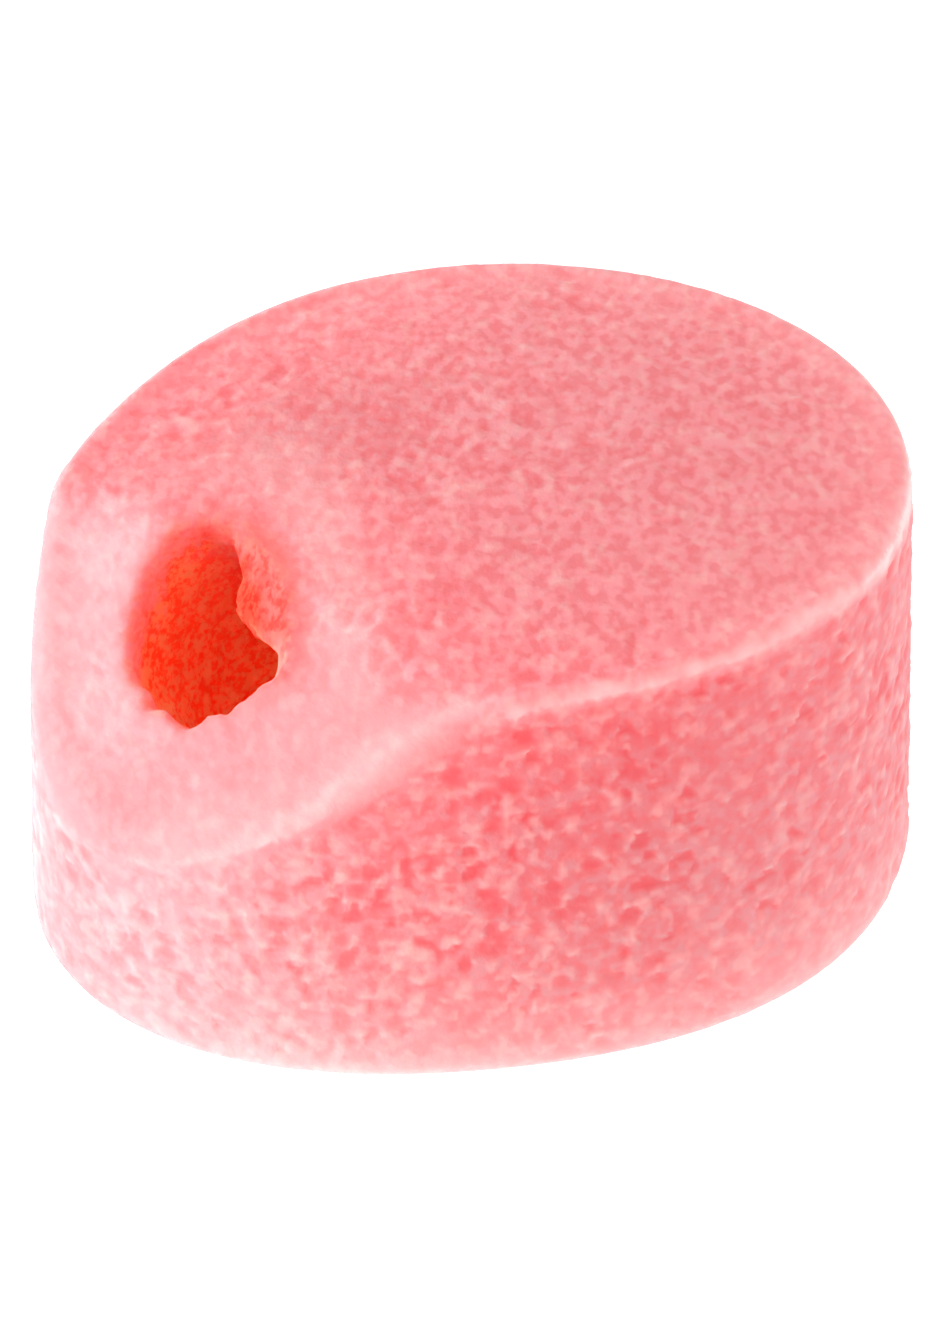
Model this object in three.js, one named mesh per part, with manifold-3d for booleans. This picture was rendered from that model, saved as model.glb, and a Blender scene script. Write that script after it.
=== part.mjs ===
// A soft pink foam sponge: a low oval drum whose lid falls away in a scoop at one end,
// with a finger hole sunk into the scoop. One solid piece.
// Millimetres, +Z up, the flat base on Z = 0. The scooped end faces -Y, and X is across.

import * as THREE from 'three';
import { mergeVertices } from 'three/addons/utils/BufferGeometryUtils.js';
import Module from 'manifold-3d';

// Plan outline: a circle drawn out along Y, more pointed at the scooped end and slightly squared.
const planRadius = 23.9;
const planOval = 0.06;
const planEgg = 0.03;
const planSquare = 0.01;

// Drum
const rimHeight = 24.1; // edge of the lid, half way along
const domeHeight = 1.2; // how far the middle of the lid stands above its edge
const lidRise = 0.8; // how much higher the lid is one lidRiseRun further back
const lidRiseRun = 25;
const wallLean = 0.015; // share by which the wall draws in from base to rim
const baseRound = 1.8; // rounding where the wall meets the base
const edgeRound = 0.7; // rounding where the wall meets the lid

// The firmer edge that stands as a low lip all round the lid
const lipHeight = 0.3;
const lipWidth = 1.8;

// Scoop: a slanting, slightly hollow and twisted face cut across the end of the lid
const scoopStart = 15.9; // from the plan's own centre to where the scoop leaves the rim's level
const scoopSlope = THREE.MathUtils.degToRad(54.4);
const scoopHollow = 0.32;
const scoopTwist = -0.29;
const scoopSpan = 20; // run over which the hollow, the twist and the crease's change are stated
const creaseRound = 2.5; // softness of the crease between lid and scoop, in the middle
const creaseChange = 2.5; // and how much softer it is one scoopSpan to the right
const creaseLeast = 1.2;
const creaseMost = 6;

// Finger hole, sunk into the scoop and narrower at its lower side
const mouthCentre = new THREE.Vector3(-0.95, -17.0, 20.6); // from the plan's own centre
const holePitch = THREE.MathUtils.degToRad(50); // how steeply the hole runs down and inwards
const holeRoll = THREE.MathUtils.degToRad(-22); // turn of its egg-shaped section about its axis
const holeHalfWidth = 6.05;
const holeHalfHeight = 5.2;
const holeDepth = 15;
const holeFlare = 0.31; // share by which the upper side is wider than the middle
const holeSquare = 0.2; // share by which upper and lower side alike are wider than a round one's
const holeLead = 9; // length of the cutting shape in front of the mouth

// Fineness of the surfaces
const turns = 90;
const baseRings = 3;
const baseArcSteps = 4;
const wallSteps = 5;
const edgeArcSteps = 3;
const lidRings = 19;
const ringCrowding = 0.6; // below 1 the rings of the lid lie closer towards the edge
const holeTurns = 36;
const holeRings = 9;
const settleRounds = 3; // times the rim's height and the wall's lean are matched to each other
const weldDistance = 1e-4; // points closer than this are one point

const pink = new THREE.MeshStandardMaterial({ color: 0xf59496, roughness: 0.95, metalness: 0 });

const wasm = await Module();
wasm.setup();

// Distance from the plan's own centre to the wall at the base. Angle 0 is the scooped end, -Y.
function planReach(angle) {
	return planRadius * (1 + planOval * Math.cos(2 * angle) + planEgg * Math.cos(3 * angle)
		+ planSquare * Math.cos(4 * angle));
}

// The plan's own centre, placed so that the outline is centred on the origin along Y.
const planCentreY = (planReach(0) - planReach(Math.PI)) / 2;

// Smooth lower of two heights, rounded over the given softness.
function softLower(a, b, softness) {
	const share = THREE.MathUtils.clamp(0.5 + 0.5 * (b - a) / softness, 0, 1);
	return b * (1 - share) + a * share - softness * share * (1 - share);
}

// Height of the slanting face at a place in the plan.
function scoopHeight(x, y) {
	const inward = y + scoopStart;
	return rimHeight + inward * Math.tan(scoopSlope)
		+ scoopHollow * inward ** 2 / scoopSpan
		+ scoopTwist * x ** 3 / scoopSpan ** 2;
}

// Height of the lid and scoop at a place in the plan. Outward is 0 at the axis and 1 at the wall.
function lidHeight(x, y, outward) {
	const dome = rimHeight + domeHeight * (1 - outward ** 2) + lidRise * y / lidRiseRun;
	const softness = THREE.MathUtils.clamp(
		creaseRound + creaseChange * x / scoopSpan, creaseLeast, creaseMost);
	return softLower(dome, scoopHeight(x, y), softness) + lipAt(planRadius * (1 - outward));
}

// Height of the lip at a distance in from the wall.
function lipAt(inset) {
	if (inset > lipWidth) return 0;
	return lipHeight * Math.sin(Math.PI * inset / lipWidth) ** 2;
}

// Half section of a plain round drum, from the middle of the base up to the middle of the lid.
function drumProfile() {
	const profile = [];
	const flatRadius = planRadius - baseRound;
	for (let i = 0; i < baseRings; i++) {
		profile.push(new THREE.Vector2(flatRadius * i / baseRings, 0));
	}
	for (let i = 0; i <= baseArcSteps; i++) {
		const turn = Math.PI / 2 * i / baseArcSteps;
		profile.push(new THREE.Vector2(
			flatRadius + baseRound * Math.sin(turn), baseRound * (1 - Math.cos(turn))));
	}
	const wallTop = rimHeight - edgeRound;
	for (let i = 1; i < wallSteps; i++) {
		profile.push(new THREE.Vector2(
			planRadius, THREE.MathUtils.lerp(baseRound, wallTop, i / wallSteps)));
	}
	const lidRadius = planRadius - edgeRound;
	for (let i = 0; i <= edgeArcSteps; i++) {
		const turn = Math.PI / 2 * i / edgeArcSteps;
		profile.push(new THREE.Vector2(
			lidRadius + edgeRound * Math.cos(turn), wallTop + edgeRound * Math.sin(turn)));
	}
	const lipRing = planRadius - lipWidth;
	profile.push(new THREE.Vector2((lidRadius + lipRing) / 2, rimHeight));
	for (let i = lidRings; i >= 0; i--) {
		profile.push(new THREE.Vector2(lipRing * (i / lidRings) ** ringCrowding, rimHeight));
	}
	return profile;
}

// Moves a point of the plain round drum to its place on the sponge.
function shapeDrumPoint(point) {
	const radius = Math.hypot(point.x, point.y);
	const angle = Math.atan2(point.x, -point.y);
	const outward = radius / planRadius;
	const x = planReach(angle) * outward * Math.sin(angle);
	const y = -planReach(angle) * outward * Math.cos(angle);
	const leanAt = (z) => 1 - wallLean * z / rimHeight;

	let top = rimHeight;
	for (let round = 0; round < settleRounds; round++) {
		top = lidHeight(x * leanAt(top), y * leanAt(top), outward);
	}
	const drop = rimHeight - point.z;
	let z = point.z;
	if (drop <= edgeRound) {
		z = top - drop;
	} else if (z > baseRound) {
		const share = (z - baseRound) / (rimHeight - edgeRound - baseRound);
		z = THREE.MathUtils.lerp(baseRound, top - edgeRound, share);
	}
	point.set(x * leanAt(z), y * leanAt(z) + planCentreY, z);
}

// Runs a function over every point of a geometry.
function movePoints(geometry, move) {
	const position = geometry.attributes.position;
	const point = new THREE.Vector3();
	for (let i = 0; i < position.count; i++) {
		point.fromBufferAttribute(position, i);
		move(point);
		position.setXYZ(i, point.x, point.y, point.z);
	}
	return geometry;
}

// Turns a closed geometry into a solid: shared points merged, triangles of no width dropped.
function toSolid(geometry) {
	geometry.deleteAttribute('normal');
	geometry.deleteAttribute('uv');
	const merged = mergeVertices(geometry, weldDistance);
	const triangles = [];
	for (let i = 0; i < merged.index.count; i += 3) {
		const [a, b, c] = [0, 1, 2].map((corner) => merged.index.getX(i + corner));
		if (a !== b && b !== c && c !== a) triangles.push(a, b, c);
	}
	return new wasm.Manifold(new wasm.Mesh({
		numProp: 3,
		vertProperties: new Float32Array(merged.attributes.position.array),
		triVerts: new Uint32Array(triangles),
	}));
}

// Turns a solid back into a geometry for a mesh.
function toGeometry(solid) {
	const { vertProperties, triVerts, numProp } = solid.getMesh();
	const positions = [];
	for (let i = 0; i < vertProperties.length; i += numProp) {
		positions.push(vertProperties[i], vertProperties[i + 1], vertProperties[i + 2]);
	}
	const geometry = new THREE.BufferGeometry();
	geometry.setAttribute('position', new THREE.Float32BufferAttribute(positions, 3));
	geometry.setIndex([...triVerts]);
	geometry.computeVertexNormals();
	return geometry;
}

// The drum with its scooped lid, without the finger hole.
function makeDrum() {
	const drum = new THREE.LatheGeometry(drumProfile(), turns);
	drum.rotateX(Math.PI / 2);
	return movePoints(drum, shapeDrumPoint);
}

// The space of the finger hole: straight in front of the mouth, then closing like a fingertip.
function makeHoleSpace() {
	const profile = [new THREE.Vector2(0, -holeDepth)];
	for (let i = holeRings - 1; i >= 0; i--) {
		const depth = i / holeRings;
		profile.push(new THREE.Vector2(Math.sqrt(1 - depth ** 3), -holeDepth * depth));
	}
	profile.push(new THREE.Vector2(1, holeLead), new THREE.Vector2(0, holeLead));

	const outwards = new THREE.Vector3(0, -Math.cos(holePitch), Math.sin(holePitch));
	const across = new THREE.Vector3(1, 0, 0).applyAxisAngle(outwards, holeRoll);
	const upwards = new THREE.Vector3().crossVectors(outwards, across);
	const space = new THREE.LatheGeometry(profile, holeTurns);
	return movePoints(space, (point) => {
		const rise = -point.z;
		const side = point.x * (1 + holeFlare * rise + holeSquare * rise ** 2);
		const along = point.y;
		point.copy(mouthCentre)
			.addScaledVector(across, holeHalfWidth * side)
			.addScaledVector(upwards, holeHalfHeight * rise)
			.addScaledVector(outwards, along);
		point.y += planCentreY;
	});
}

const sponge = new THREE.Mesh(toGeometry(toSolid(makeDrum()).subtract(toSolid(makeHoleSpace()))), pink);
sponge.name = 'sponge';

const group = new THREE.Group();
group.add(sponge);

export default group;
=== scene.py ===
import math

import bmesh
import bpy
import numpy as np
from mathutils import Matrix, Vector, noise


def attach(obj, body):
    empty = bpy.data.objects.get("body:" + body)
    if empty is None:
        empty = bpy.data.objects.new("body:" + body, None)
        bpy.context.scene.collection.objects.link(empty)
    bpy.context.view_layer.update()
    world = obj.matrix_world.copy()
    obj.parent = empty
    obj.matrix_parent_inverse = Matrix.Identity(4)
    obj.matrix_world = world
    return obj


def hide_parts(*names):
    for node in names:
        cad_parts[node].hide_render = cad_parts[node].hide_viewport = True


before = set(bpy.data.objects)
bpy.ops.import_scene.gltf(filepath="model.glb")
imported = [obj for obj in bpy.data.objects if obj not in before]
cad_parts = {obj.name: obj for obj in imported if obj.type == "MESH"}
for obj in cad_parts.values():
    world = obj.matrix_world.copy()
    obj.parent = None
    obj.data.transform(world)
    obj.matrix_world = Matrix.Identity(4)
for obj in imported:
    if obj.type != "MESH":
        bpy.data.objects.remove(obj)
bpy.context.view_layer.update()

# A soft pink foam sponge with a finger hole, dressed over its plain solid.
# Every form below is in millimetres, with the scooped end towards -Y.
MM = 0.001

# Forms of the plain solid, repeated so that the dressed foam knows its own regions
PLAN_RADIUS = 23.9
PLAN_OVAL = 0.06
PLAN_EGG = 0.03
PLAN_SQUARE = 0.01
RIM_HEIGHT = 24.1
DOME_HEIGHT = 1.2
LID_RISE = 0.8
LID_RISE_RUN = 25
WALL_LEAN = 0.015
SCOOP_START = 15.9
SCOOP_SLOPE = math.radians(54.4)
SCOOP_HOLLOW = 0.32
SCOOP_TWIST = -0.29
SCOOP_SPAN = 20
CREASE_ROUND = 2.5
CREASE_CHANGE = 2.5
CREASE_LEAST = 1.2
CREASE_MOST = 6
MOUTH_CENTRE = (-0.95, -17.0, 20.6)
HOLE_PITCH = math.radians(50)
HOLE_ROLL = math.radians(-22)
HOLE_HALF_WIDTH = 6.05
HOLE_HALF_HEIGHT = 5.2
HOLE_MEAN_RADIUS = (HOLE_HALF_WIDTH + HOLE_HALF_HEIGHT) / 2
HOLE_FLARE = 0.31
HOLE_SQUARE = 0.2

# Fineness of the dressed foam, before and after the mouth is shaped
FIRST_VOXEL = 0.36
FIRST_SMOOTHINGS = 2
VOXEL = 0.305
SMOOTHINGS = 1

# Stretches of the mouth's edge: a turn round the hole's axis, and how far the stretch spreads
SHELF = (math.radians(90), 0.72)
BY_SHELF = (SHELF[0] + 0.15, 1.6 * SHELF[1])
NOTCH = (math.radians(-38), 0.22)
LIP = (math.radians(75), 1.2)
UPPER_EDGE = (math.radians(128), 0.45)
UPPER_BLUSH = (math.radians(140), 0.6)
LOWER_SIDE = (math.radians(-85), 0.6)

# Shelf just inside the mouth, on its lid side, and the depths at which its foot starts and ends
SHELF_REACH = 3.5
SHELF_UNEVENNESS = 0.22
SHELF_WAVE = 2.0
SHELF_TOP = 1.0
SHELF_FOOT = (2.6, 6.5)

# Torn edge of the mouth: the pointed notch, and tears that are deepest on the lower side.
# The whole edge is set in a little.
NOTCH_DEPTH = 0.85
TEAR_TURN = math.radians(-32)
TEAR_LENGTH = 1.25
TEAR_DEPTH = 0.58
TEAR_LEAST = 0.12
TEAR_FADE = 1.3
TEAR_END = 3.5
MOUTH_INSET = 0.28

# Depth of the foam's pits on each part of the sponge, and of its long, low swells
LID_PITS = 0.08
WALL_PITS = 0.14
SCOOP_PITS = 0.04
HOLE_PITS = 0.20
SWELL_DEPTH = 0.05

# Lengths of the pits, of the patches where they are deep, of the knobs and of the swells
PIT_LENGTH = 0.9
PATCH_LENGTH = 3.5
KNOB_LENGTH = 0.8
SWELL_LENGTH = 4.0

# Round pits and knobs between them: the size of a cell, and the share of cells that have one
ROUND_PITS = (1.3, 0.5)
ROUND_KNOBS = (1.05, 0.45)

# The foam's cells are drawn out along one level direction, turned this far from +Y
CELL_TURN = math.radians(53)
CELL_STRETCH = 1.6

# Where the regions start and end: the wall by its share of the plan's reach and its depth below
# the rim, the base by its height, the scoop by how far it lies below the lid's dome, and the hole
# by its share of the mouth and its depth
WALL_SHARE = (0.945, 0.972)
WALL_TOP = (0.2, 1.2)
BASE = (0.3, 2.0)
SCOOP_EDGE = (-2.5, 2.5)
HOLE_SHARE = (1.30, 1.05)
HOLE_TOP = (0.1, 0.9)
SINK_SPAN = 10  # depth below the mouth at which the mask of the hole is full
CORNER = 0.35  # places less far below the rim than this lie on the lid's side of the corner

# Widths of the masks along the corner and round the mouth
HEM_WIDTH = (3.8, 1.0)
EDGE_REACH = (4.5, 3.0)
FAR_RIM_WIDTH = 0.7
MARGIN_WIDTH = 2.5
FLAT_RIM_WIDTH = 1.6
HALO_PLACE = 3.0
HALO_WIDTH = 1.6
BLUSH_WIDTH = 0.8
FOOT_HEIGHT = 3.2

# How far towards +X the left of the sponge ends, and its lee side starts. The left is painted paler on
# the scoop and deeper on the front wall as painted light, and the lee side is painted shade.
LEFT = (6, -6)
LEE = (5, 13)

# Turns round the sponge, in degrees from its scooped end, over which each mask comes and goes.
# The first three are the same on both sides of the scooped end.
FRONT = (50, 5)
BACK = (60, 100)
MARGIN = (70, 110)

# These turns are positive towards +X and negative towards -X
HEM_RISE = (2, 14)
HEM_FALL = (54, 44)
FAR_RIM_RISE = (-60, -44)
FAR_RIM_FALL = (5, -4)
LEFT_FALLS = ((2, -8), (-8, -24))
FOOT_RISE = (-2, 36)
FOOT_FALL = (176, 120)
SMOOTHER_RISE = (-170, -100)
SMOOTHER_FALL = (30, -10)

# Turns over which the pale edge changes from the scooped end to the far end. The edge is partly the
# foam's own paler edge and partly painted highlight. By the scoop it strays onto the lid and is
# fainter. It is faint on the -X side too.
EDGE_FRONT = (10, 26)
EDGE_CLIMB = (12, 28)
EDGE_SCOOP = ((28, 42), (60, 50))
EDGE_DIP = ((26, 38), (62, 54))
EDGE_SIDE = (50, 62)
EDGE_FAR = (104, 124)
EDGE_FAINT_SIDE = (14, 2)
EDGE_FAINT_END = (150, 110)

# The pale edge's strength, its distance in from the corner and its width. Each is a sum of what
# it has at the scooped end and what each stretch adds.
# the far end's added strength is painted highlight, where the edge catches the side light
EDGE_STRENGTH = {"start": 0.16, "front": 0.16, "dip": -0.12, "side": 0.22, "far": 0.50}
EDGE_PLACE = {"start": -0.4, "climb": 0.7, "scoop": 0.8, "side": -0.2, "far": -0.6}
EDGE_WIDTH = {"start": 0.45, "scoop": 0.40, "side": 0.12, "far": 0.12}

# A redder spot on the lid beside the scoop, which is painted shade: its place and its spread in square
# millimetres
BROW_SPOT = (-9, -5)
BROW_SPREAD = 60

# A redder patch of the wall below the rim, which is painted shade: its turn, its depth and how far it
# spreads in each
DUSK_TURN = 78
DUSK_TURN_SPREAD = 24
DUSK_DEPTH = 5
DUSK_DEPTH_SPREAD = 5

# Camera: the side it stands on, its height above the horizon and its lens
CAMERA_AZIMUTH = math.radians(53.18)
CAMERA_ELEVATION = math.radians(32.52)
CAMERA_DISTANCE = 480
CAMERA_LENS = 234.46
CAMERA_SENSOR = 36
LOOK_HEIGHT = 13
LOOK_SHIFT_RIGHT = -0.1145  # moves the sponge in the frame as the photograph has it
LOOK_SHIFT_UP = -0.611

# Floor: half its size in metres, how far below the sponge it lies, its grey and its own light.
# The sky lights everything evenly.
FLOOR_HALF_SIZE = 1.5
FLOOR_DROP = 0.02
FLOOR_GREY = 0.60
FLOOR_GLOW = 0.78
SKY_STRENGTH = 0.77

# Soft lamps, all equally far off: azimuth and elevation in degrees, width and height in metres,
# and power. Azimuth 0 is -Y and 90 is +X.
KEY_AZIMUTH = -32
LAMP_DISTANCE = 0.60
LAMPS = {
    "key light": (KEY_AZIMUTH, 2.5, 0.50, 0.05, 4.6),
    "front light": (-8, 45, 0.20, 0.20, 1.05),
    "side light": (128, 14, 0.30, 0.20, 0.4),
}

# Narrow lamp that shines down the finger hole: its azimuth in degrees, its distance, the width of
# its beam at the mouth, its own radius in metres and its power
HOLE_LIGHT_AZIMUTH = 15
HOLE_LIGHT_DISTANCE = 600
HOLE_LIGHT_WIDTH = 10
HOLE_LIGHT_RADIUS = 0.01
HOLE_LIGHT_POWER = 2.2


def smooth_step(low, high, value):
    """0 up to low, 1 from high, and a soft rise between. It falls instead where high is lower."""
    share = np.clip((value - low) / (high - low), 0, 1)
    return share * share * (3 - 2 * share)


def hump(rise, fall, value):
    """1 between a soft rise and a soft fall, and 0 outside them."""
    return smooth_step(*rise, value) * smooth_step(*fall, value)


def bell(distance, width):
    """1 at no distance, falling off to both sides over about the given width."""
    return np.exp(-(distance / width) ** 2)


def around(turn, centre, spread):
    """Share, 0 to 1, that falls off round the hole's axis on both sides of a turn."""
    return np.exp(2 * (np.cos(turn - centre) - 1) / spread ** 2)


def outward_from(azimuth, elevation):
    """Direction, from the sponge, of a thing at this azimuth and elevation in radians."""
    return Vector((math.sin(azimuth) * math.cos(elevation), -math.cos(azimuth) * math.cos(elevation),
                   math.sin(elevation)))


def plan_reach(angle):
    """Distance from the plan's own centre to the wall at the base. Angle 0 is the scooped end."""
    return PLAN_RADIUS * (1 + PLAN_OVAL * np.cos(2 * angle) + PLAN_EGG * np.cos(3 * angle)
                          + PLAN_SQUARE * np.cos(4 * angle))


PLAN_CENTRE_Y = (plan_reach(0) - plan_reach(math.pi)) / 2


def lean_at(z):
    return 1 - WALL_LEAN * z / RIM_HEIGHT


def dome_height(y, outward):
    return RIM_HEIGHT + DOME_HEIGHT * (1 - outward ** 2) + LID_RISE * y / LID_RISE_RUN


def scoop_height(x, y):
    inward = y + SCOOP_START
    return (RIM_HEIGHT + inward * math.tan(SCOOP_SLOPE) + SCOOP_HOLLOW * inward ** 2 / SCOOP_SPAN
            + SCOOP_TWIST * x ** 3 / SCOOP_SPAN ** 2)


def lid_height(x, y, outward):
    """Height of the lid and scoop at a place in the plan, without the lip."""
    dome = dome_height(y, outward)
    scoop = scoop_height(x, y)
    softness = np.clip(CREASE_ROUND + CREASE_CHANGE * x / SCOOP_SPAN, CREASE_LEAST, CREASE_MOST)
    share = np.clip(0.5 + 0.5 * (scoop - dome) / softness, 0, 1)
    return scoop * (1 - share) + dome * share - softness * share * (1 - share)


def hole_axes():
    """The hole's own directions: out of the mouth, across it and up it."""
    outwards = Vector((0, -math.cos(HOLE_PITCH), math.sin(HOLE_PITCH)))
    across = Matrix.Rotation(HOLE_ROLL, 3, outwards) @ Vector((1, 0, 0))
    return np.array(outwards), np.array(across), np.array(outwards.cross(across))


class Regions:
    """Where each point lies on the sponge, worked out from the forms of the plain solid.

    The values right and height stay tied to the places, and follow them when relief moves them.
    """

    def __init__(self, places):
        x = places[:, 0]
        y = places[:, 1] - PLAN_CENTRE_Y
        z = places[:, 2]
        angle = np.arctan2(x, -y)
        reach = plan_reach(angle)
        self.outward = np.hypot(x, y) / (reach * lean_at(z))
        self.angle = np.degrees(angle)
        self.turn = np.abs(self.angle)
        self.right = x
        self.along = y
        self.height = z

        rim_x = reach * lean_at(RIM_HEIGHT) * np.sin(angle)
        rim_y = -reach * lean_at(RIM_HEIGHT) * np.cos(angle)
        self.inset = (1 - self.outward) * reach
        self.below_rim = lid_height(rim_x, rim_y, 1) - z

        dome = dome_height(y, self.outward)
        scoop = scoop_height(x, y)
        slope = np.where(scoop < dome, math.cos(SCOOP_SLOPE), 1)
        self.below_lid = np.maximum(lid_height(x, y, self.outward) - z, 0) * slope
        self.scoop = smooth_step(*SCOOP_EDGE, dome - scoop)
        self.wall = smooth_step(*WALL_SHARE, self.outward) * smooth_step(*WALL_TOP, self.below_rim)
        self.top = 1 - self.wall
        self.base = 1 - smooth_step(*BASE, z)

        outwards, across, upwards = hole_axes()
        from_mouth = np.stack([x, y, z], 1) - np.array(MOUTH_CENTRE)
        rise = from_mouth @ upwards / HOLE_HALF_HEIGHT
        side = from_mouth @ across / HOLE_HALF_WIDTH
        side /= np.maximum(1 + HOLE_FLARE * rise + HOLE_SQUARE * rise ** 2, 0.3)
        self.hole_share = np.hypot(side, rise)
        self.mouth_turn = np.arctan2(rise, side)
        self.mouth_reach = (self.hole_share - 1) * HOLE_MEAN_RADIUS
        self.from_mouth = np.hypot(self.mouth_reach, self.below_lid)
        self.near_hole = (self.outward < 0.93) & (z > 3)
        self.sink = self.below_lid * smooth_step(*HOLE_SHARE, self.hole_share) * self.near_hole
        self.hole = smooth_step(*HOLE_TOP, self.sink)
        self.radial = (np.outer(side * HOLE_HALF_WIDTH, across)
                       + np.outer(rise * HOLE_HALF_HEIGHT, upwards))
        self.radial /= np.maximum(np.linalg.norm(self.radial, axis=1, keepdims=True), 1e-6)


def merged_copy(node, name):
    """A copy of a CAD node whose faces share their corners."""
    mesh = node.data.copy()
    mesh.name = name
    piece = bpy.data.objects.new(name, mesh)
    bpy.context.scene.collection.objects.link(piece)

    shape = bmesh.new()
    shape.from_mesh(mesh)
    bmesh.ops.remove_doubles(shape, verts=shape.verts, dist=1e-7)
    shape.to_mesh(mesh)
    shape.free()
    return piece


def make_even(piece, voxel, smoothings):
    """Gives the piece small, even faces and smooths its facets away."""
    remesh = piece.modifiers.new("even faces", 'REMESH')
    remesh.mode = 'VOXEL'
    remesh.voxel_size = voxel * MM
    remesh.adaptivity = 0
    graph = bpy.context.evaluated_depsgraph_get()
    fine = bpy.data.meshes.new_from_object(piece.evaluated_get(graph))
    piece.modifiers.clear()
    fine.name = piece.name
    piece.data = fine

    shape = bmesh.new()
    shape.from_mesh(fine)
    for _ in range(smoothings):
        bmesh.ops.smooth_vert(shape, verts=shape.verts, factor=0.5,
                              use_axis_x=True, use_axis_y=True, use_axis_z=True)
    shape.to_mesh(fine)
    shape.free()


def read_places(mesh):
    flat = np.empty(len(mesh.vertices) * 3)
    mesh.vertices.foreach_get("co", flat)
    return flat.reshape(-1, 3) / MM


def read_normals(mesh):
    flat = np.empty(len(mesh.vertices) * 3)
    mesh.vertex_normals.foreach_get("vector", flat)
    return flat.reshape(-1, 3)


def write_places(mesh, places):
    mesh.vertices.foreach_set("co", (places * MM).ravel())
    mesh.update()


def write_masks(mesh, masks):
    """Keeps each mask on the mesh, under its own name, for the material to read."""
    for name, values in masks.items():
        mask = mesh.attributes.new(name, 'FLOAT', 'POINT')
        mask.data.foreach_set("value", np.clip(values, 0, 1).astype(np.float32))


def drawn_out(places):
    """Places squeezed along the cells' long direction, so that noise read there has long cells."""
    long_way = np.array([-math.sin(CELL_TURN), math.cos(CELL_TURN), 0])
    return places + np.outer(places @ long_way, long_way) * (1 / CELL_STRETCH - 1)


def drift(places, length, shift):
    """Smooth noise, about -1 to 1, whose swells are about the given length. The shift picks it."""
    return np.array([noise.noise(Vector(p) / length + Vector((shift, 3.1, -shift))) for p in places])


def pores(places, cell, active, shift):
    """Depth, 0 to 1, of round pores scattered one to a cell, of which the given share is there."""
    depth = np.zeros(len(places))
    for i, p in enumerate(places):
        spot = Vector(p) / cell + Vector((shift, -shift, 1.7))
        distances, sites = noise.voronoi(spot)
        draw = 0.5 + 0.5 * noise.cell(sites[0] * 37.0)
        if draw < active:
            width = 0.35 + 0.3 * draw / active
            depth[i] = max(0.0, 1 - (distances[0] / width) ** 2)
    return depth


def torn_reach(turn):
    """How far the torn edge stands out from the mouth's plain outline, at a turn round the hole."""
    spots = np.stack([np.cos(turn), np.sin(turn), 0 * turn], 1) * HOLE_MEAN_RADIUS
    ragged = drift(spots, TEAR_LENGTH, shift=200.0) + 0.6 * drift(spots, TEAR_LENGTH / 2, shift=29.0)
    torn = TEAR_LEAST + (1 - TEAR_LEAST) * smooth_step(0.0, 0.6, np.cos(turn - TEAR_TURN))
    return TEAR_DEPTH * torn * ragged + NOTCH_DEPTH * around(turn, *NOTCH) - MOUTH_INSET


def shape_mouth(mesh):
    """Adds the shelf inside the mouth and tears the mouth's lower edge."""
    places = read_places(mesh)
    region = Regions(places)
    depth = region.below_lid
    inside = (region.hole_share < 1.06) & region.near_hole
    shelf = SHELF_REACH * around(region.mouth_turn, *SHELF)
    shelf *= 1 + SHELF_UNEVENNESS * drift(places, SHELF_WAVE, shift=31.0)
    shelf *= smooth_step(0, SHELF_TOP, depth) * (1 - smooth_step(*SHELF_FOOT, depth))
    shelf = np.where(inside, shelf, 0)

    near = np.where(region.from_mouth < TEAR_END)[0]
    tear = np.zeros(len(places))
    tear[near] = torn_reach(region.mouth_turn[near]) * bell(region.from_mouth[near], TEAR_FADE)

    places += region.radial * (tear - shelf)[:, None]
    write_places(mesh, places)


def foam_cells(places):
    """The foam's pits and knobs, each 0 to 1."""
    cells = drawn_out(places)
    pit = np.maximum(smooth_step(0.10, 0.45, drift(cells, PIT_LENGTH, shift=2.0)),
                     pores(cells, *ROUND_PITS, shift=7.0))
    pit *= 0.45 + 0.55 * smooth_step(-0.25, 0.3, drift(cells, PATCH_LENGTH, shift=1.0))
    knob = np.maximum(smooth_step(0.25, 0.6, drift(cells, KNOB_LENGTH, shift=11.0)),
                      pores(cells, *ROUND_KNOBS, shift=43.0))
    return pit, knob * (1 - pit)


def relief(region, places, pit, knob):
    """How far the foam stands out. It is flatter at the foot, by the corner and on the -X side."""
    depth = LID_PITS + (WALL_PITS - LID_PITS) * region.wall + (SCOOP_PITS - LID_PITS) * region.scoop
    depth += (HOLE_PITS - LID_PITS) * region.hole
    height = depth * (0.5 * knob - pit) + SWELL_DEPTH * drift(places, SWELL_LENGTH, shift=13.0)
    height *= 1 - 0.85 * region.base
    height *= 1 - 0.4 * hump(SMOOTHER_RISE, SMOOTHER_FALL, region.angle) * region.wall
    height *= 1 - 0.7 * bell(region.inset, FLAT_RIM_WIDTH) * region.top
    return height


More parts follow.
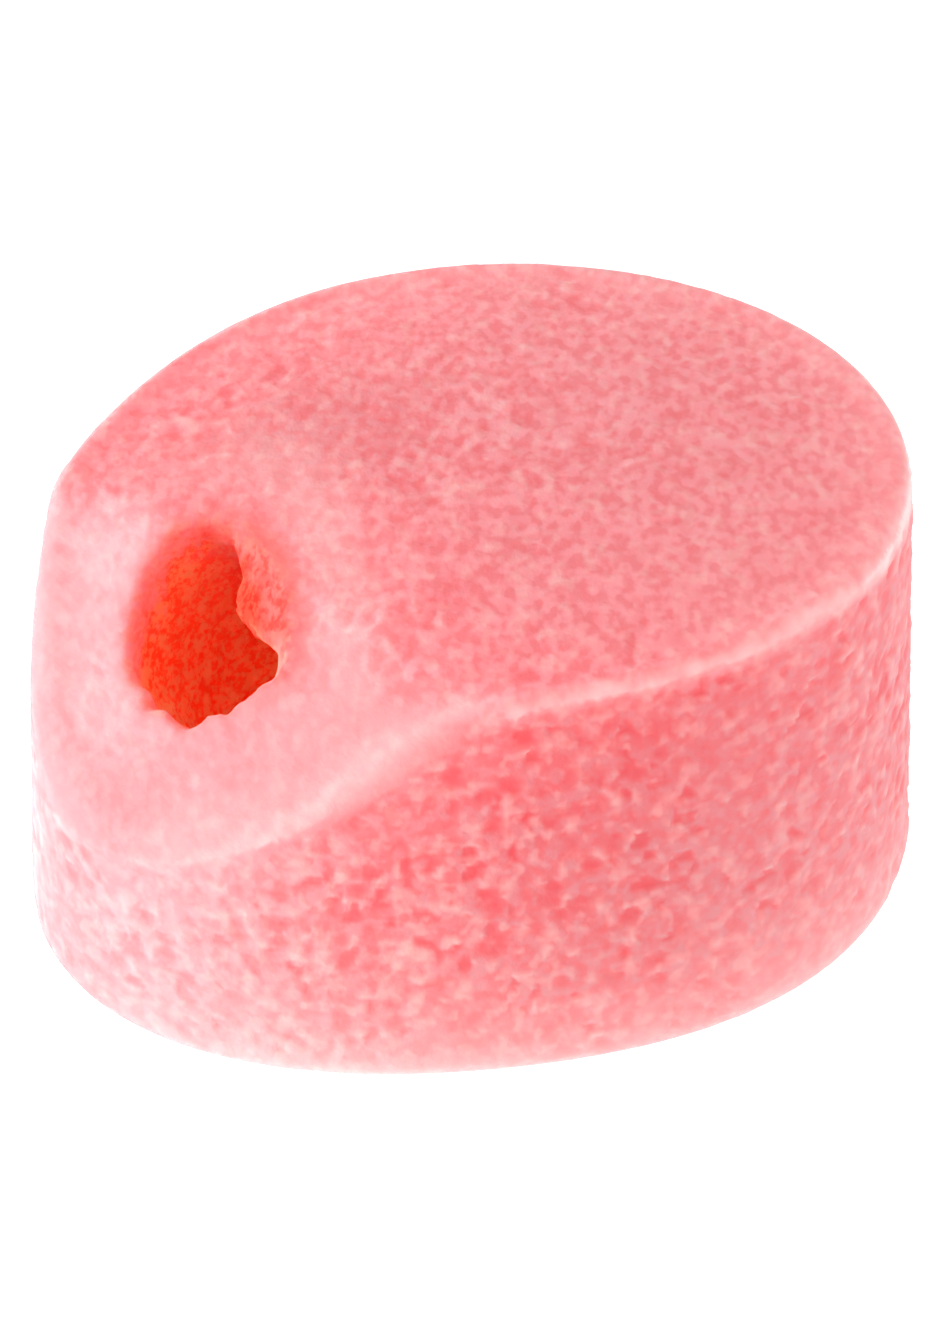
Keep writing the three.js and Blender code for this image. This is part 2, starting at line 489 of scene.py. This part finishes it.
def mouth_masks(region, places):
    """Masks of the hole, its shelf and lip, and the red that shows through round its mouth, all painted
    in: the reds are painted shade and painted red glow, and the halo is painted light.
    """
    near_rim = region.mouth_reach < 6
    from_rim = np.full(len(places), 9.0)
    from_rim[near_rim] = region.mouth_reach[near_rim] - torn_reach(region.mouth_turn[near_rim])
    by_shelf = around(region.mouth_turn, *BY_SHELF) * region.near_hole
    upper = around(region.mouth_turn, *UPPER_EDGE)

    shelf = smooth_step(0.7, -0.3, from_rim + 0.6 * upper + 0.5 * drift(places, 0.9, shift=21.0))
    shelf = np.maximum(shelf, smooth_step(0.1, 0.6, region.below_lid))
    shelf *= by_shelf * smooth_step(9, 6, region.below_lid)
    shelf *= 1 - 0.5 * upper * smooth_step(1.6, 0.6, region.below_lid)
    # painted light: a paler band round the mouth on the shelf side
    painted_mouth_light = by_shelf * bell(region.mouth_reach - HALO_PLACE, HALO_WIDTH) * (1 - shelf)

    # painted shade and painted red glow round the mouth's edge
    blush_reach = 0.4 - 0.9 * around(region.mouth_turn, *UPPER_BLUSH)
    blush = by_shelf * bell(region.mouth_reach - blush_reach, BLUSH_WIDTH)
    rim = bell(np.hypot(from_rim, region.below_lid), 0.65 + 0.4 * by_shelf) * region.near_hole
    rim *= 0.28 + 0.72 * around(region.mouth_turn, *LIP)
    rim *= 1 + 0.9 * drift(places, 0.5, shift=33.0)

    inner = smooth_step(-0.7, -2.3, region.mouth_reach + 0.8 * drift(places, 0.9, shift=27.0))
    sink = region.sink / SINK_SPAN * (1 + 1.5 * around(region.mouth_turn, *LOWER_SIDE))
    return {"shelf": shelf, "painted_mouth_light": painted_mouth_light, "flush": np.maximum(blush, rim), "inner": inner,
            "sink": np.maximum(sink, 0.16 * shelf)}


def pale_edge(region, places):
    """The lid's firm, pale edge, partly the foam's own and partly a painted highlight, strongest at the
    far end. It runs along the corner and strays onto the lid by the scoop.
    """
    turn = region.turn
    stretches = {"start": 1,
                 "front": smooth_step(*EDGE_FRONT, turn), "climb": smooth_step(*EDGE_CLIMB, turn),
                 "scoop": hump(*EDGE_SCOOP, turn), "dip": hump(*EDGE_DIP, turn),
                 "side": smooth_step(*EDGE_SIDE, turn), "far": smooth_step(*EDGE_FAR, turn)}
    strength, centre, width = (sum(share * stretches[name] for name, share in shares.items())
                               for shares in (EDGE_STRENGTH, EDGE_PLACE, EDGE_WIDTH))
    strength *= 1 - 0.7 * smooth_step(*EDGE_FAINT_SIDE, region.angle) * smooth_step(*EDGE_FAINT_END, turn)
    strength *= 1 + 0.4 * drift(places, 2.5, shift=17.0) + 0.65 * drift(places, 0.9, shift=23.0)
    strength *= smooth_step(*EDGE_REACH, region.inset)
    centre += 0.2 * drift(places, 1.2, shift=29.0)
    along = np.where(region.below_rim < CORNER, region.inset, -region.below_rim)
    return strength * bell(along - centre, width)


def corner_masks(region, places):
    """Masks that follow the corner between the lid or scoop and the wall. Apart from part of the pale
    edge, they are painted light and shade.
    """
    # painted light: the scoop is painted paler along its corner with the wall
    painted_scoop_corner_light = smooth_step(*HEM_WIDTH, region.inset) * hump(HEM_RISE, HEM_FALL, region.angle)
    from_corner = np.where(region.below_rim < CORNER, region.inset, region.below_rim)
    # painted shade along the rim on the -X side, where it turns away from the light
    painted_turned_rim_shade = bell(from_corner, FAR_RIM_WIDTH) * hump(FAR_RIM_RISE, FAR_RIM_FALL, region.angle)
    # painted light: the lid is painted paler near its rim at the far end, where the side light falls
    painted_far_end_light = smooth_step(*MARGIN, region.turn) * np.exp(-region.inset / MARGIN_WIDTH)
    return {"edge": pale_edge(region, places), "painted_scoop_corner_light": painted_scoop_corner_light * region.scoop * region.top,
            "painted_turned_rim_shade": painted_turned_rim_shade, "painted_far_end_light": painted_far_end_light * region.top}


def side_masks(region, normals):
    """Masks of the lid, wall and scoop, and of how each changes round the sponge. Most of these changes
    are painted light and shade.
    """
    lit_side = np.array(outward_from(math.radians(KEY_AZIMUTH), 0))
    # painted shade: faces turned to the key light are marked, so the mouth's lip is painted a darker red
    # there, against the light
    inward = smooth_step(0.15, 0.65, normals @ lit_side)
    # painted light: the left is the side the key light falls on, where colour is painted paler or deeper
    left = smooth_step(*LEFT, region.right)
    left *= 1 - 0.35 * sum(smooth_step(*fall, region.angle) for fall in LEFT_FALLS) * region.wall
    from_spot = (region.right - BROW_SPOT[0]) ** 2 + (region.along - BROW_SPOT[1]) ** 2
    # painted shade: a redder spot on the lid beside the scoop
    painted_brow_shade = np.exp(-from_spot / BROW_SPREAD) * (1 - region.scoop) * region.top
    # painted shade: the scoop's right side and a patch of the wall below the rim are painted redder
    painted_lee_shade = 0.6 * smooth_step(*LEE, region.right) * region.scoop * region.top
    painted_dusk_shade = (bell(region.angle - DUSK_TURN, DUSK_TURN_SPREAD)
            * bell(region.below_rim - DUSK_DEPTH, DUSK_DEPTH_SPREAD) * region.wall)
    # painted light: the wall is painted paler towards the floor, for the light the floor throws up
    painted_floor_bounce = np.exp(-region.height / FOOT_HEIGHT) * (1 - 0.2 * smooth_step(40, 80, region.turn))
    painted_floor_bounce *= hump(FOOT_RISE, FOOT_FALL, region.angle)
    # front and left carry painted light and shade onto the wall and the scoop
    return {"wall": region.wall, "scoop": region.scoop * region.top, "inward": inward,
            "front": smooth_step(*FRONT, region.turn) * region.wall, "left": left,
            "back": smooth_step(*BACK, region.turn) * region.wall, "painted_brow_shade": painted_brow_shade,
            "painted_lee_shade": np.maximum(painted_lee_shade, painted_dusk_shade), "painted_floor_bounce": painted_floor_bounce}


def make_foam():
    """The sponge with its torn mouth, its pits and knobs, and the masks of its finish, many of which
    paint light and shade into its colour.
    """
    piece = merged_copy(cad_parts["sponge"], "foam_sponge")
    make_even(piece, FIRST_VOXEL, FIRST_SMOOTHINGS)
    shape_mouth(piece.data)
    make_even(piece, VOXEL, SMOOTHINGS)

    mesh = piece.data
    places = read_places(mesh)
    normals = read_normals(mesh)
    region = Regions(places)
    pit, knob = foam_cells(places)
    places += normals * relief(region, places, pit, knob)[:, None]
    places[:, 2] = np.maximum(places[:, 2], 0)
    write_places(mesh, places)

    write_masks(mesh, {"pit": pit, "knob": knob})
    write_masks(mesh, mouth_masks(region, places))
    write_masks(mesh, corner_masks(region, places))
    write_masks(mesh, side_masks(region, normals))
    mesh.polygons.foreach_set("use_smooth", [True] * len(mesh.polygons))
    return piece


class Nodes:
    """A small hand for building a material's node tree."""

    def __init__(self, material):
        self.tree = material.node_tree
        self.shader = self.tree.nodes["Principled BSDF"]
        drawn = self.tree.nodes.new('ShaderNodeMapping')
        drawn.vector_type = 'TEXTURE'
        drawn.inputs['Rotation'].default_value = (0, 0, CELL_TURN)
        drawn.inputs['Scale'].default_value = (1, CELL_STRETCH, 1)
        self.wire(self.tree.nodes.new('ShaderNodeTexCoord').outputs['Object'], drawn.inputs['Vector'])
        self.place = drawn.outputs[0]

    def wire(self, value, socket):
        if isinstance(value, bpy.types.NodeSocket):
            self.tree.links.new(value, socket)
        else:
            socket.default_value = value

    def mask(self, name):
        node = self.tree.nodes.new('ShaderNodeAttribute')
        node.attribute_name = name
        return node.outputs['Fac']

    def work_out(self, kind, first, second):
        node = self.tree.nodes.new('ShaderNodeMath')
        node.operation = kind
        self.wire(first, node.inputs[0])
        self.wire(second, node.inputs[1])
        return node.outputs[0]

    def times(self, first, second):
        return self.work_out('MULTIPLY', first, second)

    def plus(self, first, second):
        return self.work_out('ADD', first, second)

    def fade(self, value, low, high, start=0.0, end=1.0):
        """The start up to low, the end from high, and a soft change between."""
        node = self.tree.nodes.new('ShaderNodeMapRange')
        node.interpolation_type = 'SMOOTHSTEP'
        self.wire(value, node.inputs['Value'])
        node.inputs['From Min'].default_value = low
        node.inputs['From Max'].default_value = high
        node.inputs['To Min'].default_value = start
        node.inputs['To Max'].default_value = end
        return node.outputs[0]

    def by_mask(self, mask, without, within):
        """One number where the mask is 0 and another where it is 1."""
        return self.fade(mask, 0.0, 1.0, without, within)

    def blend(self, share, first, second):
        node = self.tree.nodes.new('ShaderNodeMix')
        node.data_type = 'RGBA'
        self.wire(share, node.inputs[0])
        self.wire(first, node.inputs[6])
        self.wire(second, node.inputs[7])
        return node.outputs[2]

    def grain(self, name):
        """Soft noise round 0.5, with the settings that GRAINS has under this name."""
        length, detail, rough, shift = GRAINS[name]
        place = self.place
        if shift:
            moved = self.tree.nodes.new('ShaderNodeVectorMath')
            self.wire(place, moved.inputs[0])
            moved.inputs[1].default_value = (shift, shift, -shift)
            place = moved.outputs[0]
        node = self.tree.nodes.new('ShaderNodeTexNoise')
        self.wire(place, node.inputs['Vector'])
        node.inputs['Scale'].default_value = 1 / (length * MM)
        node.inputs['Detail'].default_value = detail
        node.inputs['Roughness'].default_value = rough
        return node.outputs['Fac']


# Finishes of the foam, as linear red, green and blue
PINK = (0.91, 0.310, 0.335, 1)
CORAL = (0.73, 0.258, 0.278, 1)
# RASPBERRY is painted shade on the front left of the wall, where the key light is strongest
RASPBERRY = (0.49, 0.190, 0.202, 1)
# PETAL is painted light on the front wall and on the scoop's left
PETAL = (0.62, 0.345, 0.362, 1)
# ROSE is the scoop's colour painted darker against the light that falls on it, and the painted shade
# along the rim on the -X side
ROSE = (0.60, 0.233, 0.250, 1)
# BLUSH is painted shade on the lid beside the scoop
BLUSH = (0.74, 0.215, 0.232, 1)
# PORE is the deep red of the foam's mottle, and also the painted shade in pits and on the lee side
PORE = (0.80, 0.105, 0.120, 1)
# PALE is painted light in most of its uses, and partly the foam's own pale edge
PALE = (0.88, 0.660, 0.650, 1)
# CREAM is the colour of pale flecks, and also the painted highlight on knobs
CREAM = (0.91, 0.560, 0.520, 1)
# The hole's colours are painted shade and painted red glow inside the hole, deeper further down
HOLE_UPPER = (0.90, 0.340, 0.300, 1)
HOLE_MIDDLE = (0.92, 0.265, 0.220, 1)
HOLE_DEEP = (1.00, 0.105, 0.018, 1)
HOLE_BRIGHT = (1.00, 0.340, 0.125, 1)
# The shelf's and lip's reds are painted shade and painted red glow inside the mouth; SHELF_GLOW is a
# painted glow
SHELF_RED = (0.76, 0.050, 0.040, 1)
SHELF_PINK = (0.80, 0.120, 0.105, 1)
SHELF_DEEP = (0.95, 0.014, 0.004, 1)
SHELF_GLOW = (0.95, 0.055, 0.026, 1)

# Grains of the finish: the length in millimetres, the detail, the roughness, and a shift that
# sets apart those that would look alike
GRAINS = {
    "wall mottle": (0.80, 1.5, 0.4, 0),
    "lid mottle": (0.62, 1.5, 0.4, 15),
    "swells": (2.4, 1.0, 0.5, 12),
    "flecks": (0.85, 1.0, 0.4, 4),
    "hole patches": (0.65, 2.0, 0.6, 9),
    "fine specks": (0.30, 2.0, 0.6, 0),
    "coarse specks": (0.80, 1.0, 0.5, 6),
    "torn shelf": (0.62, 2.0, 0.6, 2),
    "fine bumps": (0.35, 2.0, 0.5, 0),
    "coarse bumps": (0.9, 2.0, 0.5, 0),
}

# Tints laid over the grained skin, in this order: the mask, its strength and the finish. All of them are
# painted light or shade, except that the pale edge is partly the foam's own.
TINTS = (
    # painted shade on the lee side and below the rim
    ("painted_lee_shade", 0.26, PORE),
    # painted light round the mouth
    ("painted_mouth_light", 0.25, PALE),
    # painted light on the scoop along its corner
    ("painted_scoop_corner_light", 0.17, PALE),
    # partly the foam's own paler edge and partly painted highlight
    ("edge", 1.00, PALE),
    # painted shade on the rim that turns away from the light
    ("painted_turned_rim_shade", 0.90, ROSE),
    # painted light from the floor at the foot of the wall
    ("painted_floor_bounce", 0.80, PALE),
    # painted light on the lid's far end
    ("painted_far_end_light", 0.28, PALE),
)

# How the foam takes the light
SCATTER_RADIUS = (7.5, 0.5, 0.4)
FOAM_ROUGHNESS = 0.92
FOAM_SHINE = 0.2
BUMP_STRENGTH = 0.4
BUMP_DEPTH = 0.12


def plain_skin(n, wall, scoop, front):
    """The broad colours of the lid, the wall and the scoop, without grain. Most of their change round the
    sponge is painted light and shade.
    """
    left = n.mask("left")
    # painted light: the front wall is painted paler (PETAL), and deeper (RASPBERRY) at its left, where
    # the key light is strongest
    side = n.blend(n.fade(front, 0.0, 0.6, 0.0, 0.72), CORAL, PETAL)
    side = n.blend(n.times(front, left), side, RASPBERRY)
    # painted light: the scoop is painted paler (PETAL) on its left, where the key light falls, and darker
    # (ROSE) elsewhere
    slope = n.blend(n.times(left, 0.7), ROSE, PETAL)
    # painted shade: BLUSH darkens the lid beside the scoop
    top = n.blend(n.times(n.mask("painted_brow_shade"), 0.8), PINK, BLUSH)
    return n.blend(scoop, n.blend(wall, top, side), slope)


def grained_skin(n):
    """The skin with its mottle, pits and knobs, which are fainter on the scoop and at both ends."""
    wall = n.mask("wall")
    scoop = n.mask("scoop")
    front = n.mask("front")
    calm = n.times(n.by_mask(scoop, 1.0, 0.45), n.by_mask(front, 1.0, 0.5))
    calm = n.times(calm, n.by_mask(n.mask("back"), 1.0, 0.7))
    skin = n.times(calm, n.by_mask(wall, 0.8, 1.0))
    body = plain_skin(n, wall, scoop, front)

    coarse = n.times(n.fade(n.grain("wall mottle"), 0.36, 0.62, 0.48, 0.0), wall)
    finer = n.fade(n.grain("lid mottle"), 0.36, 0.62, 0.54, 0.0)
    mottle = n.plus(coarse, n.times(finer, n.by_mask(wall, 1.0, 0.0)))
    body = n.blend(n.times(mottle, skin), body, PORE)
    swells = n.fade(n.grain("swells"), 0.36, 0.64, 0.16, 0.0)
    body = n.blend(n.times(swells, skin), body, PORE)
    flecks = n.fade(n.grain("flecks"), 0.50, 0.72, 0.0, 0.30)
    body = n.blend(n.times(flecks, skin), body, CREAM)
    # painted shade: the pits are painted darker
    pits = n.times(n.mask("pit"), n.by_mask(wall, 0.30, 0.82))
    body = n.blend(n.times(pits, calm), body, PORE)
    # painted highlight: the knobs are painted paler
    knobs = n.times(n.mask("knob"), n.by_mask(wall, 0.16, 0.36))
    return n.blend(n.times(knobs, calm), body, CREAM)


def with_hole(n, body):
    """The skin's colour with the red of the hole, its lip and its shelf laid over it. This red is painted
    shade and painted red glow, deeper further in.
    """
    sink = n.mask("sink")
    shelf = n.mask("shelf")
    swing = n.times(n.fade(sink, 0.0, 0.05), n.by_mask(shelf, 1.0, 2.6))
    patches = n.fade(n.grain("hole patches"), 0.35, 0.65, -0.05, 0.05)
    ragged = n.plus(sink, n.times(patches, swing))
    specks = n.plus(n.times(n.grain("fine specks"), 1.5), n.grain("coarse specks"))
    specks = n.fade(specks, 1.05, 1.45)
    # painted shade and painted red glow, deepening down the hole
    deep = n.blend(specks, HOLE_DEEP, HOLE_BRIGHT)
    upper = n.blend(specks, HOLE_MIDDLE, HOLE_UPPER)
    hole = n.blend(n.fade(ragged, 0.10, 0.32), upper, deep)
    body = n.blend(n.fade(ragged, 0.0, 0.075), body, hole)

    # painted shade and painted red glow on the mouth's lip, darker where it faces the key light
    lip = n.blend(n.mask("inward"), SHELF_PINK, SHELF_RED)
    body = n.blend(n.times(n.mask("flush"), 0.80), body, lip)
    # painted shade and painted red glow on the shelf inside the mouth
    torn = n.blend(n.fade(n.grain("torn shelf"), 0.38, 0.60), SHELF_RED, SHELF_PINK)
    torn = n.blend(n.mask("inner"), torn, n.blend(specks, SHELF_DEEP, SHELF_GLOW))
    return n.blend(n.fade(shelf, 0.25, 0.75), body, torn)


def foam_finish():
    material = bpy.data.materials.new("pink foam")
    material.use_nodes = True
    n = Nodes(material)
    body = grained_skin(n)
    for name, strength, finish in TINTS:
        body = n.blend(n.times(n.mask(name), strength), body, finish)
    n.wire(with_hole(n, body), n.shader.inputs['Base Color'])

    bump = n.tree.nodes.new('ShaderNodeBump')
    bump.inputs['Strength'].default_value = BUMP_STRENGTH
    bump.inputs['Distance'].default_value = BUMP_DEPTH * MM
    n.wire(n.plus(n.grain("fine bumps"), n.grain("coarse bumps")), bump.inputs['Height'])
    n.wire(bump.outputs[0], n.shader.inputs['Normal'])

    n.shader.subsurface_method = 'RANDOM_WALK'
    n.shader.inputs['Subsurface Weight'].default_value = 1.0
    n.shader.inputs['Subsurface Radius'].default_value = SCATTER_RADIUS
    n.shader.inputs['Subsurface Scale'].default_value = MM
    n.shader.inputs['Roughness'].default_value = FOAM_ROUGHNESS
    n.shader.inputs['Specular IOR Level'].default_value = FOAM_SHINE
    return material


def make_floor():
    """A pale floor that glows a little, so that it comes out as white as the photograph's."""
    shape = bmesh.new()
    bmesh.ops.create_grid(shape, x_segments=1, y_segments=1, size=FLOOR_HALF_SIZE)
    mesh = bpy.data.meshes.new("floor")
    shape.to_mesh(mesh)
    shape.free()

    finish = bpy.data.materials.new("white floor")
    finish.use_nodes = True
    shader = finish.node_tree.nodes["Principled BSDF"]
    shader.inputs['Base Color'].default_value = (FLOOR_GREY, FLOOR_GREY, FLOOR_GREY, 1)
    shader.inputs['Roughness'].default_value = 0.9
    shader.inputs['Specular IOR Level'].default_value = 0.1
    shader.inputs['Emission Color'].default_value = (1, 1, 1, 1)
    shader.inputs['Emission Strength'].default_value = FLOOR_GLOW
    mesh.materials.append(finish)

    floor = bpy.data.objects.new("floor", mesh)
    floor.location.z = -FLOOR_DROP * MM
    bpy.context.scene.collection.objects.link(floor)


def make_camera():
    back = outward_from(CAMERA_AZIMUTH, CAMERA_ELEVATION)
    right = Vector((math.cos(CAMERA_AZIMUTH), math.sin(CAMERA_AZIMUTH), 0))
    up = back.cross(right)
    aim = Vector((0, PLAN_CENTRE_Y, LOOK_HEIGHT)) + right * LOOK_SHIFT_RIGHT + up * LOOK_SHIFT_UP
    place = (aim + back * CAMERA_DISTANCE) * MM
    data = bpy.data.cameras.new("camera")
    data.lens = CAMERA_LENS
    data.sensor_width = CAMERA_SENSOR
    data.clip_start = 0.01
    data.clip_end = 10
    camera = bpy.data.objects.new("camera", data)
    camera.matrix_world = Matrix.Translation(place) @ Matrix((right, up, back)).transposed().to_4x4()
    bpy.context.scene.collection.objects.link(camera)
    bpy.context.scene.camera = camera


def hang_lamp(data, place, out):
    """Puts a lamp at a place so that it shines against the outward direction."""
    lamp = bpy.data.objects.new(data.name, data)
    lamp.location = place
    lamp.rotation_mode = 'QUATERNION'
    lamp.rotation_quaternion = out.to_track_quat('Z', 'Y')
    bpy.context.scene.collection.objects.link(lamp)


def soft_box(name, azimuth, elevation, width, height, power):
    """A rectangular lamp that faces the sponge from the given side."""
    out = outward_from(math.radians(azimuth), math.radians(elevation))
    data = bpy.data.lights.new(name, 'AREA')
    data.shape = 'RECTANGLE'
    data.size = width
    data.size_y = height
    data.energy = power
    hang_lamp(data, Vector((0, 0, LOOK_HEIGHT * MM)) + out * LAMP_DISTANCE, out)


def hole_light():
    """A narrow lamp that shines into the finger hole only."""
    out = outward_from(math.radians(HOLE_LIGHT_AZIMUTH), HOLE_PITCH)
    data = bpy.data.lights.new("hole light", 'SPOT')
    data.spot_size = 2 * math.atan(HOLE_LIGHT_WIDTH / 2 / HOLE_LIGHT_DISTANCE)
    data.spot_blend = 1
    data.shadow_soft_size = HOLE_LIGHT_RADIUS
    data.energy = HOLE_LIGHT_POWER
    mouth = Vector(MOUTH_CENTRE) + Vector((0, PLAN_CENTRE_Y, 0))
    hang_lamp(data, (mouth + out * HOLE_LIGHT_DISTANCE) * MM, out)


def make_light():
    world = bpy.data.worlds.new("studio")
    world.use_nodes = True
    sky = world.node_tree.nodes["Background"]
    sky.inputs['Color'].default_value = (1, 1, 1, 1)
    sky.inputs['Strength'].default_value = SKY_STRENGTH
    bpy.context.scene.world = world
    for name, settings in LAMPS.items():
        soft_box(name, *settings)
    hole_light()
    bpy.context.scene.view_settings.view_transform = 'Standard'
    bpy.context.scene.view_settings.look = 'None'


foam = make_foam()
foam.data.materials.clear()
foam.data.materials.append(foam_finish())
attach(foam, "root")
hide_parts("sponge")

make_floor()
make_camera()
make_light()
